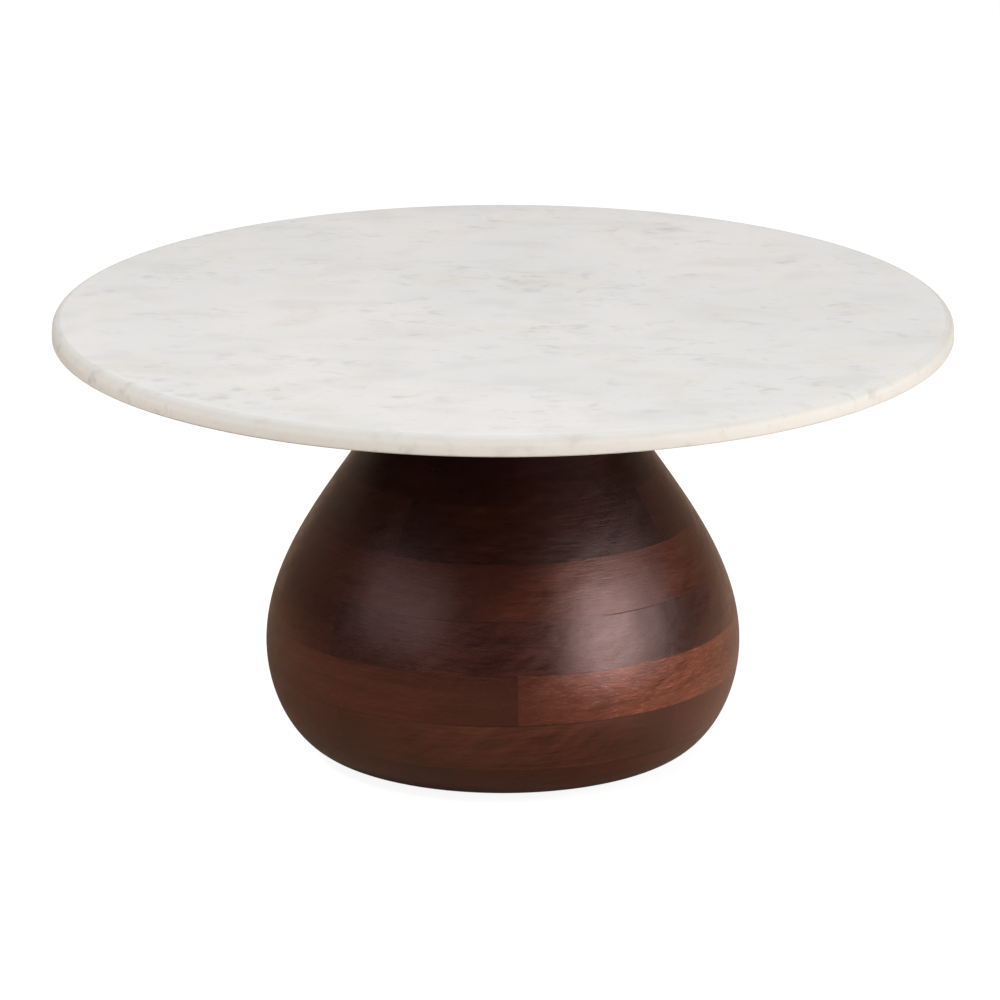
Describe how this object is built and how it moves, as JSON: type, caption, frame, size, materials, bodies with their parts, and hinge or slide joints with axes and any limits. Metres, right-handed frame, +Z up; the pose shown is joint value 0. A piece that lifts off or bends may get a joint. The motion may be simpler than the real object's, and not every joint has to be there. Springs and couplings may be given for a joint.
{
  "type": "pedestal coffee table",
  "caption": "Low round coffee table: thin white marble top on a pear-shaped turned hardwood pedestal laid up from staggered rings of mitred boards, on screw levelling feet.",
  "frame": {"origin": "on the floor, under the axis of the round top", "axes": "+Z up along the table's axis; -Y is the side the picture looks at, +X to its right"},
  "size_m": [0.9, 0.9, 0.45],
  "materials": {
    "white_marble": "honed",
    "stained_hardwood": "dark stain under satin lacquer",
    "black_steel": "powder coat",
    "zinc_steel": "zinc plated",
    "brass": "machined",
    "black_nylon": "moulded"
  },
  "bodies": {
    "table": {"marble_top": "white_marble", "stone_inserts": "brass", "mounting_plate": "black_steel", "top_bolts": "zinc_steel", "top_bolt_washers": "zinc_steel", "plate_screws": "zinc_steel", "neck_cap": "stained_hardwood", "ring_1_board_1": "stained_hardwood", "ring_1_board_2": "stained_hardwood", "ring_1_board_3": "stained_hardwood", "ring_1_board_4": "stained_hardwood", "ring_2_board_1": "stained_hardwood", "ring_2_board_2": "stained_hardwood", "ring_2_board_3": "stained_hardwood", "ring_2_board_4": "stained_hardwood", "ring_3_board_1": "stained_hardwood", "ring_3_board_2": "stained_hardwood", "ring_3_board_3": "stained_hardwood", "ring_3_board_4": "stained_hardwood", "ring_4_board_1": "stained_hardwood", "ring_4_board_2": "stained_hardwood", "ring_4_board_3": "stained_hardwood", "ring_4_board_4": "stained_hardwood", "ring_5_board_1": "stained_hardwood", "ring_5_board_2": "stained_hardwood", "ring_5_board_3": "stained_hardwood", "ring_5_board_4": "stained_hardwood", "ring_6_board_1": "stained_hardwood", "ring_6_board_2": "stained_hardwood", "ring_6_board_3": "stained_hardwood", "ring_6_board_4": "stained_hardwood", "ring_7_board_1": "stained_hardwood", "ring_7_board_2": "stained_hardwood", "ring_7_board_3": "stained_hardwood", "ring_7_board_4": "stained_hardwood", "ring_8_board_1": "stained_hardwood", "ring_8_board_2": "stained_hardwood", "ring_8_board_3": "stained_hardwood", "ring_8_board_4": "stained_hardwood", "leveller_bushes": "zinc_steel"},
    "leveller_1": {"leveller_stem_1": "zinc_steel", "leveller_pad_1": "black_nylon"},
    "leveller_2": {"leveller_stem_2": "zinc_steel", "leveller_pad_2": "black_nylon"},
    "leveller_3": {"leveller_stem_3": "zinc_steel", "leveller_pad_3": "black_nylon"},
    "leveller_4": {"leveller_stem_4": "zinc_steel", "leveller_pad_4": "black_nylon"}
  },
  "joints": [
    {"name": "leveller_1_height", "type": "slide", "parent": "table", "child": "leveller_1", "axis": [0, 0, -1], "range_m": [0, 0.01]},
    {"name": "leveller_2_height", "type": "slide", "parent": "table", "child": "leveller_2", "axis": [0, 0, -1], "range_m": [0, 0.01]},
    {"name": "leveller_3_height", "type": "slide", "parent": "table", "child": "leveller_3", "axis": [0, 0, -1], "range_m": [0, 0.01]},
    {"name": "leveller_4_height", "type": "slide", "parent": "table", "child": "leveller_4", "axis": [0, 0, -1], "range_m": [0, 0.01]}
  ]
}
